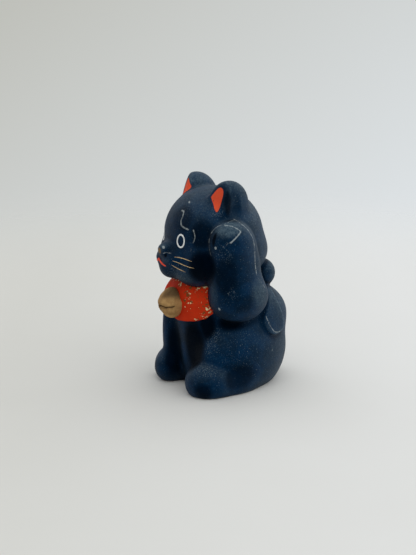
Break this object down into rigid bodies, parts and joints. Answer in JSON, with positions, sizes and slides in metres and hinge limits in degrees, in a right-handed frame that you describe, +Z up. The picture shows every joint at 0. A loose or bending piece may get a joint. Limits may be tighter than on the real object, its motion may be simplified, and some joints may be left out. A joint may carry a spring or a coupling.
{
  "type": "lucky cat figurine",
  "caption": "Seated clay lucky cat painted matt black, with a raised forepaw, a red bib, a clay bell and a bow at the nape, for display on a shelf.",
  "frame": {"origin": "middle of the bounding box in plan, at the foot of the cat", "axes": "+Z up, -Y the way the cat faces, +X towards the cat's raised left forepaw"},
  "size_m": [0.045, 0.0508, 0.0752],
  "materials": {
    "black_paint": "matt blue-black paint on fired clay",
    "red_paint": "matt vermilion paint on fired clay",
    "bare_clay": "unpainted fired clay"
  },
  "bodies": {
    "root": {"head_front_half": "black_paint", "head_back_half": "black_paint", "body_front_half": "black_paint", "body_back_half": "black_paint", "left_ear": "black_paint", "right_ear": "black_paint", "raised_left_foreleg": "black_paint", "right_foreleg": "black_paint", "left_hind_paw": "black_paint", "right_hind_paw": "black_paint", "tail": "black_paint", "bow_knot": "black_paint", "bow_left_loop": "black_paint", "bow_right_loop": "black_paint", "bow_left_end": "black_paint", "bow_right_end": "black_paint", "bib": "red_paint", "bell": "bare_clay", "base_plate": "bare_clay"}
  },
  "joints": []
}
